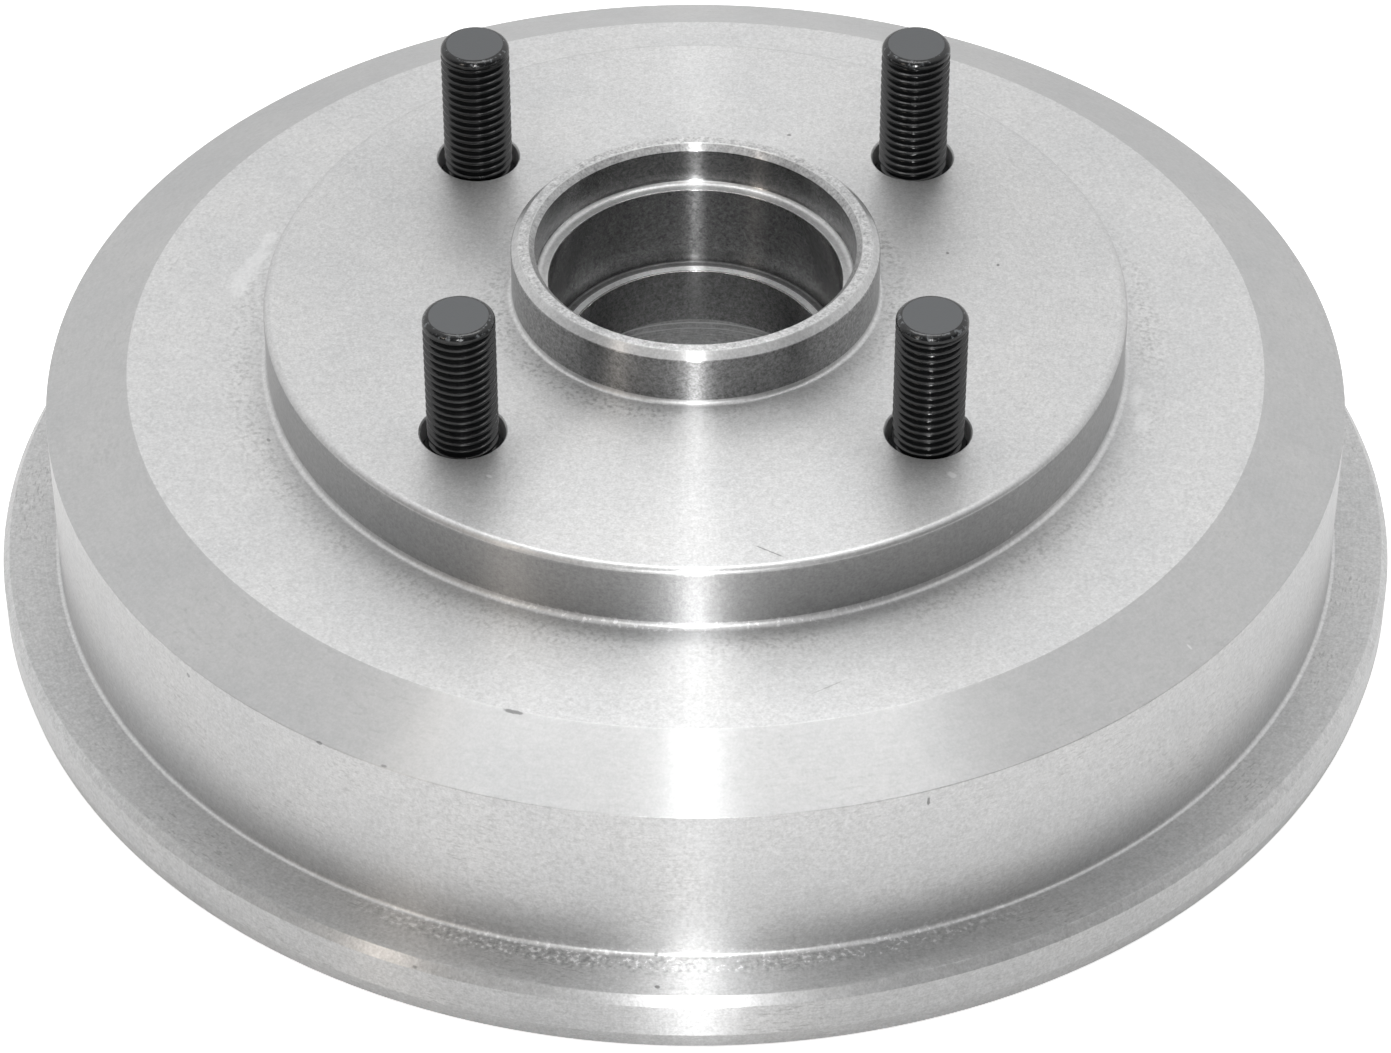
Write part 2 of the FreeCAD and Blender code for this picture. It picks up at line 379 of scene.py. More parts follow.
class Finish(Tree):
    """A metal finish: a turned layer, whose fine grooves draw highlights out, over an even one."""

    def __init__(self, name, turned_anisotropy):
        self.material = bpy.data.materials.new(name)
        self.material.use_nodes = True
        super().__init__(self.material.node_tree)
        self.place = self.node("ShaderNodeTexCoord", output="Object")
        even = self.node_tree.nodes["Principled BSDF"]
        turned = self.node("ShaderNodeBsdfPrincipled")
        layers = self.node("ShaderNodeMixShader", {}, {1: Wire(self, even.outputs[0]), 2: turned})
        self.even = even.inputs
        self.turned = turned.socket.node.inputs
        self.turned["Anisotropic"].default_value = turned_anisotropy
        self.turned["Anisotropic Rotation"].default_value = 0.25
        self.turned_share = layers.socket.node.inputs["Fac"]
        self.feed(self.node_tree.nodes["Material Output"].inputs["Surface"], layers)

    def feed_both(self, socket_name, value):
        for sockets in (self.even, self.turned):
            self.feed(sockets[socket_name], value)

    def noise(self, size, detail, place=None):
        """Noise from 0 to 1 with spots of about a size in millimetres."""
        return self.node("ShaderNodeTexNoise", {}, {
            "Vector": place or self.place,
            "Scale": 1 / (size * MM),
            "Detail": detail,
        })

    def mix(self, share, first, second):
        """A colour between two, by a share from 0 to 1."""
        return self.node("ShaderNodeMix", {"data_type": "RGBA"}, {0: share, 6: first, 7: second}, 2)

    def spot(self, place, size, turn, raggedness):
        """1 inside an oval spot, from its place and size in millimetres and its turn in degrees."""
        local = self.node("ShaderNodeMapping", {"vector_type": "TEXTURE"}, {
            "Vector": self.place,
            "Location": Vector(place) * MM,
            "Rotation": (0, 0, math.radians(turn)),
            "Scale": Vector(size) * MM / 2,
        })
        far = self.node("ShaderNodeVectorMath", {"operation": "LENGTH"}, {0: local}, "Value")
        return 1 - (far + raggedness).rise(0.5, 1)

    def bump(self, depth):
        """A bumped normal, from a depth in millimetres."""
        return self.node("ShaderNodeBump", {}, {"Height": depth * MM, "Distance": 1.0})


def grey(level, warmth=0.0):
    """A near-grey colour, a little warm or cold."""
    return (level * (1 + warmth), level, level * (1 - warmth), 1)


# Each kind of cut leaves its own finish: how light it is, the share of its turned layer, how rough the
# turned and the even layers are, and how deep its speckle, its grooves and its torn spots show. Each
# finish fills rings of the drum's section, given by their radii and heights, and the last ring that
# covers a face decides. Facings are what no ring covers.
finish_names = ("level", "turned_share", "turned_roughness", "even_roughness", "speckle", "grooves", "torn")
facing_cut = (0.58, 0.27, 0.38, 0.45, 0.42, 0.05, 0.12)
face_cut = (0.56, 0.34, 0.38, 0.45, 0.48, 0.05, 0.12)
cone_cut = (0.465, 0.55, 0.3, 0.45, 0.22, 0.1, 0.12)
wall_cut = (0.58, 0.22, 0.3, 0.45, 0.42, 0.12, 0.25)
flange_top_cut = (0.51, 0.75, 0.34, 0.45, 0.5, 0.2, 0.4)
flange_cut = (0.57, 0.75, 0.36, 0.45, 0.5, 0.2, 0.35)
# Painted shade: the downward-facing lip is darker, standing for the shaded floor it reflects near the drum.
shaded_lip_cut = (0.5, 0.35, 0.34, 0.45, 0.5, 0.2, 0.12)
flange_bevel_cut = (0.59, 0.75, 0.38, 0.45, 0.5, 0.2, 0.12)
boss_edge_cut = (0.53, 0.35, 0.32, 0.42, 0.4, 0.05, 0.12)
pilot_bevel_cut = (0.52, 0.6, 0.36, 0.45, 0.5, 0.05, 0.12)
mouth_cut = (0.48, 0.34, 0.34, 0.45, 1.2, 0.05, 0.0)
lead_in_cut = (0.4, 0.5, 0.3, 0.45, 1.2, 0.05, 0.0)
boss_wall_cut = (0.38, 0.75, 0.3, 0.45, 0.5, 0.05, 0.12)
pilot_wall_cut = (0.27, 0.8, 0.29, 0.45, 1.3, 0.05, 0.12)
bore_cut = (0.345, 0.88, 0.24, 0.34, 1.4, 0.05, 0.0)
cap_ledge_cut = (0.52, 0.4, 0.3, 0.45, 0.5, 0.05, 0.0)
# Painted highlight: the ledge of the outer bearing's seat is nearly white, so that it shows as one bright
# line.
seat_ledge_highlight_cut = (0.95, 0.65, 0.3, 0.45, 0.5, 0.05, 0.0)
# Painted shade: the corner beside the seat ledge, up to the bearing's seat, is dark as well as rough.
shaded_seat_corner_cut = (0.27, 0.5, 0.4, 0.5, 0.7, 0.05, 0.0)
inner_bore_cut = (0.55, 0.7, 0.3, 0.3, 0.8, 0.8, 0.0)
friction_cut = (0.5, 0.75, 0.32, 0.4, 0.3, 0.3, 0.0)
cast_skin = (0.2, 0.0, 0.38, 0.62, 0.6, 0.0, 0.0)
flat_margin = 0.1
wall_margin = 0.2
narrow_margin = 0.5
wide_margin = 1.0
flange_root_r = wall_r + wall_root_round
flange_outside_r = flange_r + wide_margin
bevel_foot_height = flange_thickness - flange_bevel_height
mouth_height = hub_height - flat_margin
seat_floor_height = outer_shoulder_height - flat_margin
below_drum = -wide_margin


def flat_face(face_height):
    """The heights of a ring that holds a flat face."""
    return face_height - flat_margin, face_height + flat_margin


def upright_wall(wall_radius):
    """The radii of a ring that holds an upright wall."""
    return wall_radius - wall_margin, wall_radius + wall_margin


section_finishes = (
    ((pilot_r, boss_r - boss_edge_round), flat_face(wheel_face_height), face_cut),
    ((crown_r, wall_r), (shoulder_height, crown_height), cone_cut),
    (upright_wall(wall_r), (flange_thickness + wall_root_round, shoulder_height), wall_cut),
    ((flange_root_r, flange_r), flat_face(flange_thickness), flange_top_cut),
    ((flange_root_r, flange_outside_r), (lip_taper_height, bevel_foot_height), flange_cut),
    ((flange_root_r, flange_outside_r), (below_drum, lip_taper_height), shaded_lip_cut),
    ((flange_r - flange_bevel_depth, flange_r), (bevel_foot_height, flange_thickness - flat_margin),
     flange_bevel_cut),
    ((boss_r - boss_edge_round, boss_r), (wheel_face_height - boss_edge_round, wheel_face_height),
     boss_edge_cut),
    ((pilot_r - pilot_bevel, pilot_r), (hub_height - pilot_bevel, mouth_height), pilot_bevel_cut),
    ((cap_seat_r, cap_seat_r + cap_lead_in), (hub_height - cap_lead_in, mouth_height), lead_in_cut),
    ((cap_seat_r + cap_lead_in, pilot_r - pilot_bevel), flat_face(hub_height), mouth_cut),
    (upright_wall(boss_r), (crown_height + wide_margin, wheel_face_height - wide_margin), boss_wall_cut),
    (upright_wall(pilot_r), (wheel_face_height + wide_margin, hub_height - wide_margin), pilot_wall_cut),
    ((outer_seat_r - outer_seat_round, outer_seat_r + wall_margin), (seat_floor_height, cap_floor),
     bore_cut),
    (upright_wall(cap_seat_r), (cap_floor, hub_height - cap_lead_in), bore_cut),
    ((0, outer_seat_r), (inner_shoulder_height, outer_shoulder_height + flat_margin), bore_cut),
    ((outer_seat_r + wall_margin, cap_seat_r - wall_margin),
     (cap_floor - narrow_margin, cap_floor + wide_margin), cap_ledge_cut),
    ((seat_ledge_inner_r, seat_ledge_outer_r), flat_face(outer_shoulder_height), seat_ledge_highlight_cut),
    ((seat_ledge_outer_r, outer_seat_r), (seat_floor_height, outer_shoulder_height + outer_seat_round),
     shaded_seat_corner_cut),
    ((0, seal_seat_r + seal_lead_in), (below_drum, inner_shoulder_height + flat_margin), inner_bore_cut),
    ((friction_r - narrow_margin, friction_r + relief_depth + narrow_margin),
     (below_drum, chamber_height - chamber_round), friction_cut),
    ((seal_seat_r + seal_lead_in, recess_mouth_r + narrow_margin),
     (barrel_end_height + narrow_margin, recess_height + wall_margin), cast_skin),
    ((recess_mouth_r - recess_round, friction_r),
     (chamber_height - chamber_round, chamber_height + wall_margin), cast_skin),
)


def store_finishes(tree, geometry):
    """Keeps each value of the finishes as an attribute of the faces, by where their middles lie."""
    middle = tree.node("GeometryNodeInputPosition")
    middle_x = tree.node("ShaderNodeSeparateXYZ", {}, {"Vector": middle})
    middle_y = middle_x.output("Y")
    middle_r = (middle_x * middle_x + middle_y * middle_y) ** 0.5 / MM
    middle_z = middle_x.output("Z") / MM
    rings = []
    for (r_low, r_high), (z_low, z_high), cut in section_finishes:
        inside = middle_r.inside(r_low, r_high) * middle_z.inside(z_low, z_high)
        rings.append((inside, cut))
    for index, name in enumerate(finish_names):
        value = facing_cut[index]
        for inside, cut in rings:
            value = inside * cut[index] + (1 - inside) * value
        geometry = tree.node("GeometryNodeStoreNamedAttribute", {"data_type": "FLOAT", "domain": "FACE"},
                             {"Geometry": geometry, "Name": name, "Value": value})
    return geometry


iron = Finish("turned_iron", turned_anisotropy=1.0)
cut_level, turned_share, turned_roughness, even_roughness, speckle_depth, groove_depth, torn_depth = (
    iron.node("ShaderNodeAttribute", {"attribute_name": name}, output="Fac") for name in finish_names)
place_x = iron.node("ShaderNodeSeparateXYZ", {}, {"Vector": iron.place})
place_y = place_x.output("Y")
place_z = place_x.output("Z")
place_r = (place_x * place_x + place_y * place_y) ** 0.5
radius = place_r / MM
height = place_z / MM
bearing = iron.math("ARCTAN2", place_y, place_x) / math.radians(1)
lathe_place = iron.node("ShaderNodeCombineXYZ", {}, {"X": bearing, "Y": radius, "Z": height})
groove_stretch = 9.0
along_grooves = iron.node("ShaderNodeCombineXYZ", {}, {
    "X": place_x / groove_stretch,
    "Y": place_y / groove_stretch,
    "Z": place_r + place_z,
})
dash_stretch = 4.0
along_dashes = iron.node("ShaderNodeCombineXYZ", {}, {
    "X": place_x / dash_stretch,
    "Y": place_y / dash_stretch,
    "Z": place_r + place_z,
})
grain = iron.noise(0.36, 2)
specks = iron.noise(0.8, 2)
mottle = iron.noise(3, 3)
clouds = iron.noise(16, 2)
grooves = iron.noise(0.3, 1, along_grooves)
skin = iron.noise(1.1, 1)
mottle_depth = 0.1
cloud_depth = 0.15
level = cut_level * (1 + speckle_depth * (grain + 0.8 * specks - 0.9) + groove_depth * (grooves - 0.5)
                     + mottle_depth * (mottle - 0.5) + cloud_depth * (clouds - 0.5))

# Flakes of graphite torn out of the iron leave short dark dashes along the grooves, in patches, and dark
# specks round the feet of the boss and the collar and, at the front, of the wall. They lie closer at the
# front left. Painted shade darkens the corner above the outer bearing's shoulder. Painted glints stand
# for burrs at the front in the roots of the boss and the wall, and two rings left by the tool are painted
# bright as highlights in the inner bearing's seat.
toward_front = (0 - place_y / place_r).rise(0.85, 0.97)
front_left = bearing.band(-119, -97, 4)
torn = iron.noise(0.4, 1, along_dashes).rise(0.58, 0.68) * clouds.rise(0.5, 0.6) * torn_depth
on_crown = height.inside(*flat_face(crown_height))
feet = (0.6 * on_crown * radius.band(boss_r + 2, boss_r + 7, 2) + radius.band(pilot_r + 1, pilot_r + 5, 1.5)
        + radius.band(wall_r + 0.5, wall_r + 4, 1) * toward_front)
speckled = (1 - specks).rise(0.48, 0.7) * feet * front_left.larger(clouds.rise(0.3, 0.6))
# Painted shade: a dark band in the corner above the outer bearing's shoulder.
shaded_seat_corner = radius.band(seat_ledge_outer_r + 0.3, outer_seat_r + 0.3, 0.1) * height.band(
    outer_shoulder_height - 0.2, outer_shoulder_height + 2.5, 1)
torn_strength = 0.55
speck_strength = 0.28
corner_shade_strength = 0.5
darkened = (torn_strength * torn).larger(speck_strength * speckled).larger(corner_shade_strength * shaded_seat_corner)
boss_root = radius.band(boss_r, boss_r + 1.2, 0.2) * height.band(
    crown_height - 0.1, crown_height + 1.2, 0.2)
wall_root = radius.band(wall_r, wall_r + 3.5, 0.5) * height.band(
    flange_thickness - 0.3, flange_thickness + 1.5, 0.2)
# Painted glints: bright specks in the roots of the boss and the wall, at the front only.
painted_root_glints = (specks + 0.03 * front_left).rise(0.6, 0.66) * (boss_root + wall_root) * toward_front
# Painted highlights: two thin bright rings on the inner bearing's seat, where the tool left rings.
upper_ring_highlight = height.band(28.6, 28.9, 0.08)
lower_ring_highlight = height.band(27.4, 27.6, 0.08)
on_inner_seat = radius.band(inner_seat_r - 0.3, inner_seat_r + 0.3, 0.1)
brightened = painted_root_glints + on_inner_seat * (upper_ring_highlight + lower_ring_highlight)

# The marks of casting and handling: small dark pits and nicks, a few bright burrs, and the pale smudges
# of a wipe. Each has its bearing round the axle in degrees, its radius and height, and then its length
# along the grooves, its width and its thickness. The two fine scratches have instead their place, their
# size, their turn in degrees and their strength.
pits = (
    (69.6, 47.6, wheel_face_height, 1.1, 0.8, 1.0),
    (13.2, 44.4, wheel_face_height, 0.9, 0.7, 1.0),
    (7.4, 52.2, wheel_face_height, 0.9, 0.7, 1.0),
    (-107.1, 97.5, crown_height - 0.1, 4.0, 0.9, 1.0),
    (-70.9, 111.4, 39.1, 0.7, 1.5, 2.4),
    (-93.2, 111.5, flange_thickness, 1.0, 1.0, 2.0),
    (-92.9, 118.5, flange_thickness, 1.1, 0.9, 1.0),
)
nicks = (
    (-122.2, 111.4, shoulder_height, 1.4, 0.6, 1.0),
    (-116.1, 111.1, shoulder_height, 1.4, 0.6, 1.0),
    (-137.1, 111.5, 39.0, 1.0, 1.0, 1.2),
    (-111.6, 121.4, 9.9, 1.4, 0.9, 1.0),
    (-160.1, 76.1, crown_height, 1.2, 0.8, 1.0),
)
bright_burrs = (
    (-123.9, 60.0, wheel_face_height, 1.4, 0.8, 1.0),
    (-49.9, 64.7, wheel_face_height, 1.5, 2.2, 1.0),
)
faint_burrs = (
    (-42.6, 108.0, 42.7, 0.6, 1.6, 1.0),
    (-45.3, 73.4, 49.0, 0.8, 0.5, 1.0),
)
smudges = (
    (167.3, 81.2, crown_height, 11.0, 5.0, 7.0),
    (162.7, 80.7, crown_height, 9.6, 4.2, 6.0),
    (158.6, 80.9, crown_height, 6.4, 2.8, 4.0),
    (-11.0, 76.2, crown_height, 7.2, 3.2, 4.5),
    (-15.7, 78.0, crown_height, 7.2, 3.2, 4.5),
)
scratches = (
    ((11.6, -68.4, wheel_face_height), (6.5, 0.4, 1.0), -32, 0.45),
    ((21.0, -87.5, crown_height), (7.0, 0.35, 1.0), 32, 0.25),
)


def marked(marks, raggedness):
    """1 inside any of the marks and 0 outside them, with edges that a noise makes ragged."""
    nearest = None
    for mark_bearing, mark_r, mark_z, length, width, thickness in marks:
        arc_per_degree = math.radians(1) * mark_r
        stretch = Vector((2 * arc_per_degree / length, 2 / width, 2 / thickness))
        shift = Vector((-mark_bearing * stretch.x, -mark_r * stretch.y, -mark_z * stretch.z))
        local = iron.node("ShaderNodeVectorMath", {"operation": "MULTIPLY_ADD"},
                          {0: lathe_place, 1: stretch, 2: shift})
        far = iron.node("ShaderNodeVectorMath", {"operation": "LENGTH"}, {0: local}, "Value")
        nearest = far if nearest is None else far.smaller(nearest)
    return 1 - (nearest + raggedness).rise(0.5, 1)


ragged = 0.8 * (specks - 0.5)
cloudy = 1.4 * (mottle - 0.5)
pit_strength = 0.55
nick_strength = 0.42
bright_burr_strength = 0.75
faint_burr_strength = 0.45
smudge_strength = 0.34
bright_level = 0.8
darkened = darkened.larger(pit_strength * marked(pits, ragged))
darkened = darkened.larger(nick_strength * marked(nicks, ragged))
for place, size, turn, strength in scratches:
    darkened = darkened.larger(strength * iron.spot(place, size, turn, ragged))
brightened = brightened + bright_burr_strength * marked(bright_burrs, ragged)
brightened = brightened + faint_burr_strength * marked(faint_burrs, ragged)
brightened = brightened + smudge_strength * marked(smudges, cloudy)
level = level * (1 - darkened) + (bright_level - level) * brightened
coldest = -0.008
warmest = 0.006
tint = iron.mix(clouds, grey(1, coldest), grey(1, warmest))
iron.feed_both("Base Color", iron.mix(level, grey(0), tint))
iron.feed_both("Metallic", 1.0)
iron.feed(iron.turned_share, turned_share)
iron.feed(iron.turned["Roughness"], turned_roughness)
iron.feed(iron.even["Roughness"], even_roughness)

# The relief in millimetres: the grooves, the grain, which grows with the speckle up to a limit, and the
# rough skin of the cast faces, where nothing is turned.
groove_relief = 0.004
grain_relief = 0.024 * speckle_depth.smaller(0.6)
skin_relief = 0.3 * (1 - (turned_share / 0.1).smaller(1))
iron.feed_both("Normal", iron.bump(groove_relief * grooves + grain_relief * grain + skin_relief * skin))

drum_tree, drum_inputs = geometry_tree("Turned drum with drilled stud holes", {
    "Outline Points": "NodeSocketInt",
    "Facets": "NodeSocketInt",
    "Hole Cutter": "NodeSocketObject",
    "Cutter Points": "NodeSocketInt",
    "Hole Facets": "NodeSocketInt",
    "Hole Count": "NodeSocketInt",
    "Bolt Circle Radius": "NodeSocketFloat",
    "First Hole Angle": "NodeSocketFloat",
})
drum_body = close_seams(drum_tree, turn_on_lathe(
    drum_tree, drum_inputs, 0, drum_inputs.output("Outline Points"), drum_inputs.output("Facets")))
cutter_outline = drum_tree.node("GeometryNodeObjectInfo", {}, {"Object": drum_inputs.output("Hole Cutter")},
                                "Geometry")
hole_cutter = close_seams(drum_tree, turn_on_lathe(
    drum_tree, cutter_outline, 0, drum_inputs.output("Cutter Points"), drum_inputs.output("Hole Facets")))
hole_circle = drum_tree.node("GeometryNodeMeshCircle", {}, {
    "Vertices": drum_inputs.output("Hole Count"),
    "Radius": drum_inputs.output("Bolt Circle Radius"),
})
hole_places = drum_tree.node("GeometryNodeTransform", {}, {
    "Geometry": hole_circle,
    "Rotation": drum_tree.node("ShaderNodeCombineXYZ", {}, {"Z": drum_inputs.output("First Hole Angle")}),
})
hole_cutters = drum_tree.node("GeometryNodeRealizeInstances", {}, {
    "Geometry": drum_tree.node("GeometryNodeInstanceOnPoints", {}, {
        "Points": hole_places,
        "Instance": hole_cutter,
    }),
})
drilled = drum_tree.node("GeometryNodeMeshBoolean", {"operation": "DIFFERENCE", "solver": "EXACT"}, {
    "Mesh 1": drum_body,
    "Mesh 2": hole_cutters,
})
finish_geometry(drum_tree, store_finishes(drum_tree, drilled), iron.material)

cutter_carrier = outline_object("stud_hole_cutter", cutter_points)
drum_carrier = outline_object("drum_outline", drum_points)
drum = bake_geometry(drum_carrier, drum_tree, {
    "Outline Points": len(drum_points),
    "Facets": drum_facets,
    "Hole Cutter": cutter_carrier,
    "Cutter Points": len(cutter_points),
    "Hole Facets": stud_hole_facets,
    "Hole Count": stud_count,
    "Bolt Circle Radius": bolt_circle_r * MM,
    "First Hole Angle": first_stud_angle,
}, "turned_drum")
bpy.data.objects.remove(cutter_carrier)

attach(drum, "root")
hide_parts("drum")

# The wheel studs: cold-forged steel with rolled M12 threads, black phosphated and lightly oiled. Each
# is pressed in from inside: the knurled shoulder bites into the hole, and the head seats on its spot
# face. The threads come out of the holes with a small gap all round.

stud_low, stud_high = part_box("wheel_stud_1")
stud_bottom = stud_low.z / MM
stud_top = stud_high.z / MM
thread_crest_r = mounts["wheel_studs"]["dims"]["stud_r_mm"]
thread_pitch = 1.5
thread_depth = 0.92
thread_root_r = thread_crest_r - thread_depth
thread_rows_per_turn = 10
thread_run_out = 1.2
thread_start_turn = 0.27
tip_round = 1.15
thread_fade = 0.5
stud_head_r = 8.75
stud_head_round = 0.5
knurl_length = 5.0
knurl_top = spot_face_height + knurl_length
knurl_top_round = 0.2
knurl_depth = 0.45
knurl_teeth = 16
knurl_flat = 0.35
stud_facets = 96
thread_top = stud_top - tip_round - round_margin
thread_rows = math.ceil(((thread_top - knurl_top) / thread_pitch + 1) * thread_rows_per_turn) + 1

shank_points = turned_outline([
    (0, stud_bottom, 0),
    (stud_head_r, stud_bottom, stud_head_round),
    (stud_head_r, spot_face_height, knurl_top_round),
    (stud_hole_r, spot_face_height, 0),
    (stud_hole_r, knurl_top, knurl_top_round),
    (thread_root_r, knurl_top, 0),
], closed=False)
tip_points = turned_outline([
    (thread_crest_r, thread_top, 0),
    (thread_crest_r, stud_top, tip_round),
    (0, stud_top, 0),
], closed=False)

# Oil leaves the black glossy. The flat tip is paler and duller, and its rim is worn in places.
stud_black = Finish("stud_steel", turned_anisotropy=0.0)
stud_grain = stud_black.noise(0.3, 2)
stud_height = stud_black.node("ShaderNodeSeparateXYZ", {}, {"Vector": stud_black.place}).output("Z") / MM
on_tip = stud_height.rise(stud_top - 0.02, stud_top - 0.002)
on_rim = stud_height.band(stud_top - 0.8, stud_top - 0.03, 0.02)
worn_rim = on_rim * stud_black.noise(0.9, 2).rise(0.54, 0.7)
stud_level = 0.003 + 0.007 * stud_grain + 0.06 * on_tip + 0.09 * worn_rim
stud_roughness = 0.1 + 0.14 * stud_grain + 0.3 * on_tip + 0.2 * worn_rim
stud_relief = 0.02
bluish = -0.06
stud_black.feed_both("Base Color", stud_black.mix(stud_level, grey(0), grey(1, bluish)))
stud_black.feed_both("Roughness", stud_roughness)
stud_black.feed_both("Normal", stud_black.bump(stud_relief * stud_grain))

stud_tree, stud_inputs = geometry_tree("Wheel stud with a rolled thread", {
    "Shank Points": "NodeSocketInt",
    "Tip Points": "NodeSocketInt",
    "Facets": "NodeSocketInt",
    "Thread Rows": "NodeSocketInt",
    "Thread Rows Per Turn": "NodeSocketInt",
    "Thread Bottom": "NodeSocketFloat",
    "Thread Top": "NodeSocketFloat",
    "Thread Pitch": "NodeSocketFloat",
    "Thread Run-out": "NodeSocketFloat",
    "Thread Fade": "NodeSocketFloat",
    "Thread Start": "NodeSocketFloat",
    "Root Radius": "NodeSocketFloat",
    "Thread Depth": "NodeSocketFloat",
    "Knurl Radius": "NodeSocketFloat",
    "Knurl Teeth": "NodeSocketInt",
    "Knurl Depth": "NodeSocketFloat",
})
stud_facet_input = stud_inputs.output("Facets")
shank = turn_on_lathe(stud_tree, stud_inputs, 0, stud_inputs.output("Shank Points"), stud_facet_input)
tip = turn_on_lathe(stud_tree, stud_inputs, stud_inputs.output("Shank Points"),
                    stud_inputs.output("Tip Points"), stud_facet_input)

# The knurl: grooves along the shoulder, pressed in towards the axis.
point = stud_tree.node("GeometryNodeInputPosition")
point_x = stud_tree.node("ShaderNodeSeparateXYZ", {}, {"Vector": point})
point_y = point_x.output("Y")
point_r = (point_x * point_x + point_y * point_y) ** 0.5
knurl_r = stud_inputs.output("Knurl Radius")
knurl_reach = 0.2 * MM
on_knurl = stud_tree.math("COMPARE", point_r, knurl_r, knurl_reach)
turn_share = stud_tree.math("ARCTAN2", point_y, point_x) / math.tau
tooth = turn_share * stud_inputs.output("Knurl Teeth") % 1
groove = (1 - abs(tooth * 2 - 1)).rise(knurl_flat, 1)
shrunk = 1 - on_knurl * groove * stud_inputs.output("Knurl Depth") / knurl_r
knurled = stud_tree.node("GeometryNodeSetPosition", {}, {
    "Geometry": shank,
    "Position": stud_tree.node("ShaderNodeCombineXYZ", {}, {
        "X": point_x * shrunk,
        "Y": point_y * shrunk,
        "Z": point_x.output("Z"),
    }),
})

# The thread is one sheet wound round the axis. It climbs by a pitch in each turn and is cut level at both
# ends. Its ridge rises out of the root above the knurl, and meets the tip at its full width.
thread_grid, thread_row, thread_share = round_grid(
    stud_tree, stud_inputs.output("Thread Rows"), stud_facet_input)
thread_bottom = stud_inputs.output("Thread Bottom")
thread_end = stud_inputs.output("Thread Top")
turns_up = thread_row / stud_inputs.output("Thread Rows Per Turn")
thread_z = thread_bottom + stud_inputs.output("Thread Pitch") * (turns_up + thread_share - 1)
thread_z = thread_z.larger(thread_bottom).smaller(thread_end)
phase = (turns_up + stud_inputs.output("Thread Start")) % 1
ridge = (1 - abs(phase * 2 - 1)).rise(0.1, 0.9)
ridge = ridge * thread_z.rise(thread_bottom, thread_bottom + stud_inputs.output("Thread Run-out"))
ridge = ridge.larger(thread_z.rise(thread_end - stud_inputs.output("Thread Fade"), thread_end))
thread_r = stud_inputs.output("Root Radius") + ridge * stud_inputs.output("Thread Depth")
thread_angle = thread_share * math.tau
thread = stud_tree.node("GeometryNodeSetPosition", {}, {
    "Geometry": thread_grid,
    "Position": stud_tree.node("ShaderNodeCombineXYZ", {}, {
        "X": thread_r * stud_tree.math("COSINE", thread_angle),
        "Y": thread_r * stud_tree.math("SINE", thread_angle),
        "Z": thread_z,
    }),
})
stud_parts = stud_tree.node("GeometryNodeJoinGeometry")
for part in (knurled, thread, tip):
    stud_tree.feed(stud_parts.socket.node.inputs["Geometry"], part)
finish_geometry(stud_tree, close_seams(stud_tree, stud_parts), stud_black.material)

for number in range(1, stud_count + 1):
    stud_name = f"wheel_stud_{number}"
    stud = bake_geometry(outline_object(f"{stud_name}_outline", shank_points + tip_points), stud_tree, {
        "Shank Points": len(shank_points),
        "Tip Points": len(tip_points),
        "Facets": stud_facets,
        "Thread Rows": thread_rows,
        "Thread Rows Per Turn": thread_rows_per_turn,
        "Thread Bottom": knurl_top * MM,
        "Thread Top": thread_top * MM,
        "Thread Pitch": thread_pitch * MM,
        "Thread Run-out": thread_run_out * MM,
        "Thread Fade": thread_fade * MM,
        "Thread Start": thread_start_turn * number,
        "Root Radius": thread_root_r * MM,
        "Thread Depth": thread_depth * MM,
        "Knurl Radius": stud_hole_r * MM,
        "Knurl Teeth": knurl_teeth,
        "Knurl Depth": knurl_depth * MM,
    }, f"threaded_{stud_name}")
    turn_on_circle = Matrix.Rotation(first_stud_angle + math.tau * (number - 1) / stud_count, 4, "Z")
    stud.data.transform(turn_on_circle @ Matrix.Translation((bolt_circle_r * MM, 0, 0)))
    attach(stud, "root")
    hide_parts(stud_name)

# The studio: a plain pale floor, a soft sky that is brighter behind the drum, and four lamps. The camera
# stands where the photograph was taken from, which the drum's circles give.

floor_size = 6.0
floor_gap = 0.0002
floor_mesh = bpy.data.meshes.new("floor")
half = floor_size / 2
floor_corners = [(-half, -half, 0), (half, -half, 0), (half, half, 0), (-half, half, 0)]
floor_mesh.from_pydata(floor_corners, [], [(0, 1, 2, 3)])
floor = bpy.data.objects.new("floor", floor_mesh)
bpy.context.scene.collection.objects.link(floor)
floor.location.z = -floor_gap

photo_width = 1391
sensor_width = 36.0
focal_length_px = 4940.2
view_elevation = math.radians(40.312)
view_distance = 0.87444
aim_height = 0.00603
camera_data = bpy.data.cameras.new("camera")
camera = bpy.data.objects.new("camera", camera_data)
bpy.context.scene.collection.objects.link(camera)
camera_data.sensor_width = sensor_width
camera_data.lens = focal_length_px / photo_width * sensor_width
camera.location = (0, -view_distance * math.cos(view_elevation),
                   aim_height + view_distance * math.sin(view_elevation))
camera.rotation_euler = (math.pi / 2 - view_elevation, 0, 0)
bpy.context.scene.camera = camera

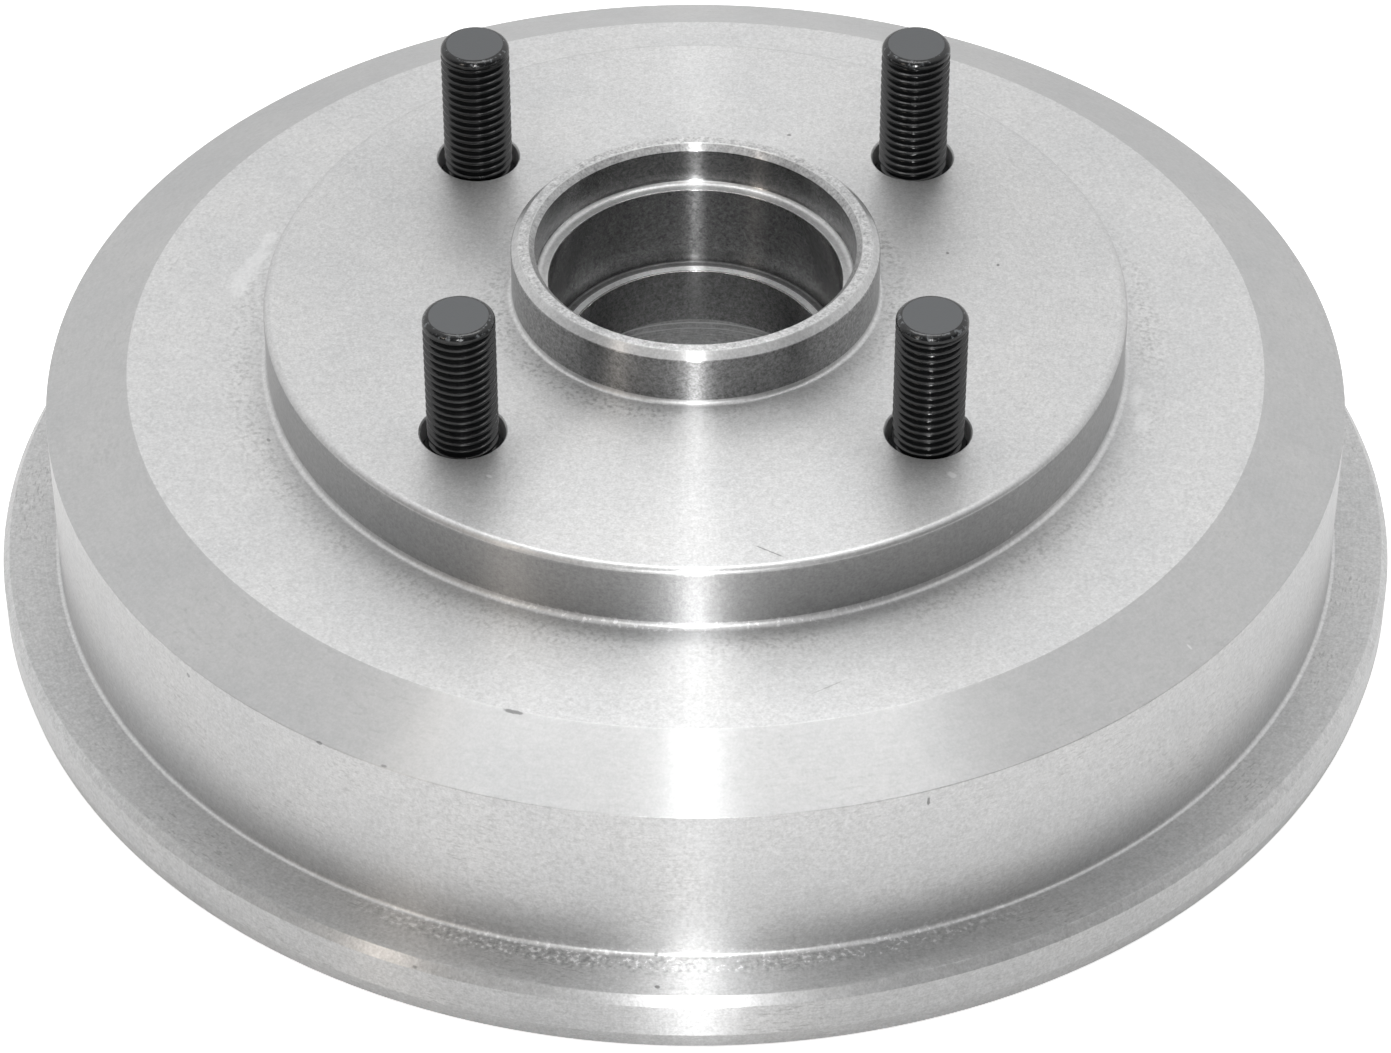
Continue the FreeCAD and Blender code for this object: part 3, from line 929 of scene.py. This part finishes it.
# The floor glows a little: to the camera all round the drum, so that it stays pale, and very faintly in
# the metal's reflections, from a little way outside the flange.
camera_fill = 0.5
metal_fill = 0.05
fill_edge = 0.004
reflection_edge = 0.012
floor_material = bpy.data.materials.new("floor_paint")
floor_material.use_nodes = True
floor_mesh.materials.append(floor_material)
floor_tree = Tree(floor_material.node_tree)
floor_sockets = floor_material.node_tree.nodes["Principled BSDF"].inputs
floor_place = floor_tree.node("ShaderNodeTexCoord", output="Object")
from_centre = floor_tree.node("ShaderNodeVectorMath", {"operation": "LENGTH"}, {0: floor_place}, "Value")
outside_drum = from_centre.rise(flange_r * MM - fill_edge, flange_r * MM)
clear_of_drum = from_centre.rise(flange_r * MM, flange_r * MM + reflection_edge)
floor_path = floor_tree.node("ShaderNodeLightPath", output="Is Camera Ray")
floor_glow = (camera_fill * outside_drum * floor_path
              + metal_fill * clear_of_drum * floor_path.output("Is Glossy Ray"))
floor_sockets["Base Color"].default_value = grey(0.9)
floor_sockets["Roughness"].default_value = 1.0
floor_sockets["Emission Strength"].default_value = 1.0
floor_tree.feed(floor_sockets["Emission Color"], floor_glow)

world = bpy.data.worlds.new("studio")
bpy.context.scene.world = world
world.use_nodes = True
world_tree = Tree(world.node_tree)
sky = world.node_tree.nodes["Background"]
sky_direction = world_tree.node("ShaderNodeTexCoord", output="Generated")
sky_x = world_tree.node("ShaderNodeSeparateXYZ", {}, {"Vector": sky_direction})
sky_front_level = 0.08
sky_back_level = 1.1
back_share = 0.85
top_share = 0.53
toward_back = (sky_x.output("Y") * back_share + sky_x.output("Z") * top_share).rise(-0.25, 0.5)
sky_level = sky_front_level + (sky_back_level - sky_front_level) * toward_back
seen = world_tree.node("ShaderNodeLightPath", output="Is Camera Ray")
sky.inputs["Color"].default_value = grey(1.0)
world_tree.feed(sky.inputs["Strength"], sky_level * (1 - seen) + seen)

# Two strips in front draw the streaks of light up the drum's middle, one at the front left draws the faint
# warm one, and a soft box lights the faces from above. Each lamp has its bearing and elevation in degrees,
# its distance, width and length in metres, its power in watts, and its warmth.
lamps = (
    ("high_strip", -90, 70, 0.8, 0.014, 0.25, 0.22, 0.0),
    ("low_strip", -90, 28, 0.8, 0.014, 0.3, 2.9, 0.0),
    ("side_strip", -135, 30, 0.8, 0.05, 0.3, 0.4, 0.12),
    ("soft_box", -90, 95, 0.375, 0.24, 0.1, 0.36, 0.0),
)
for lamp_name, lamp_bearing, elevation, distance, width, length, power, warmth in lamps:
    lamp_data = bpy.data.lights.new(lamp_name, "AREA")
    lamp_data.shape = "RECTANGLE"
    lamp_data.size = width
    lamp_data.size_y = length
    lamp_data.energy = power
    lamp_data.color = grey(1, warmth)[:3]
    lamp = bpy.data.objects.new(lamp_name, lamp_data)
    bpy.context.scene.collection.objects.link(lamp)
    turn_to_bearing = Matrix.Rotation(math.radians(lamp_bearing + 90), 4, "Z")
    tilt_down = Matrix.Rotation(math.radians(90 - elevation), 4, "X")
    lamp.matrix_world = turn_to_bearing @ tilt_down @ Matrix.Translation((0, 0, distance))
    lamp.visible_camera = False

bpy.context.scene.view_settings.view_transform = "Standard"
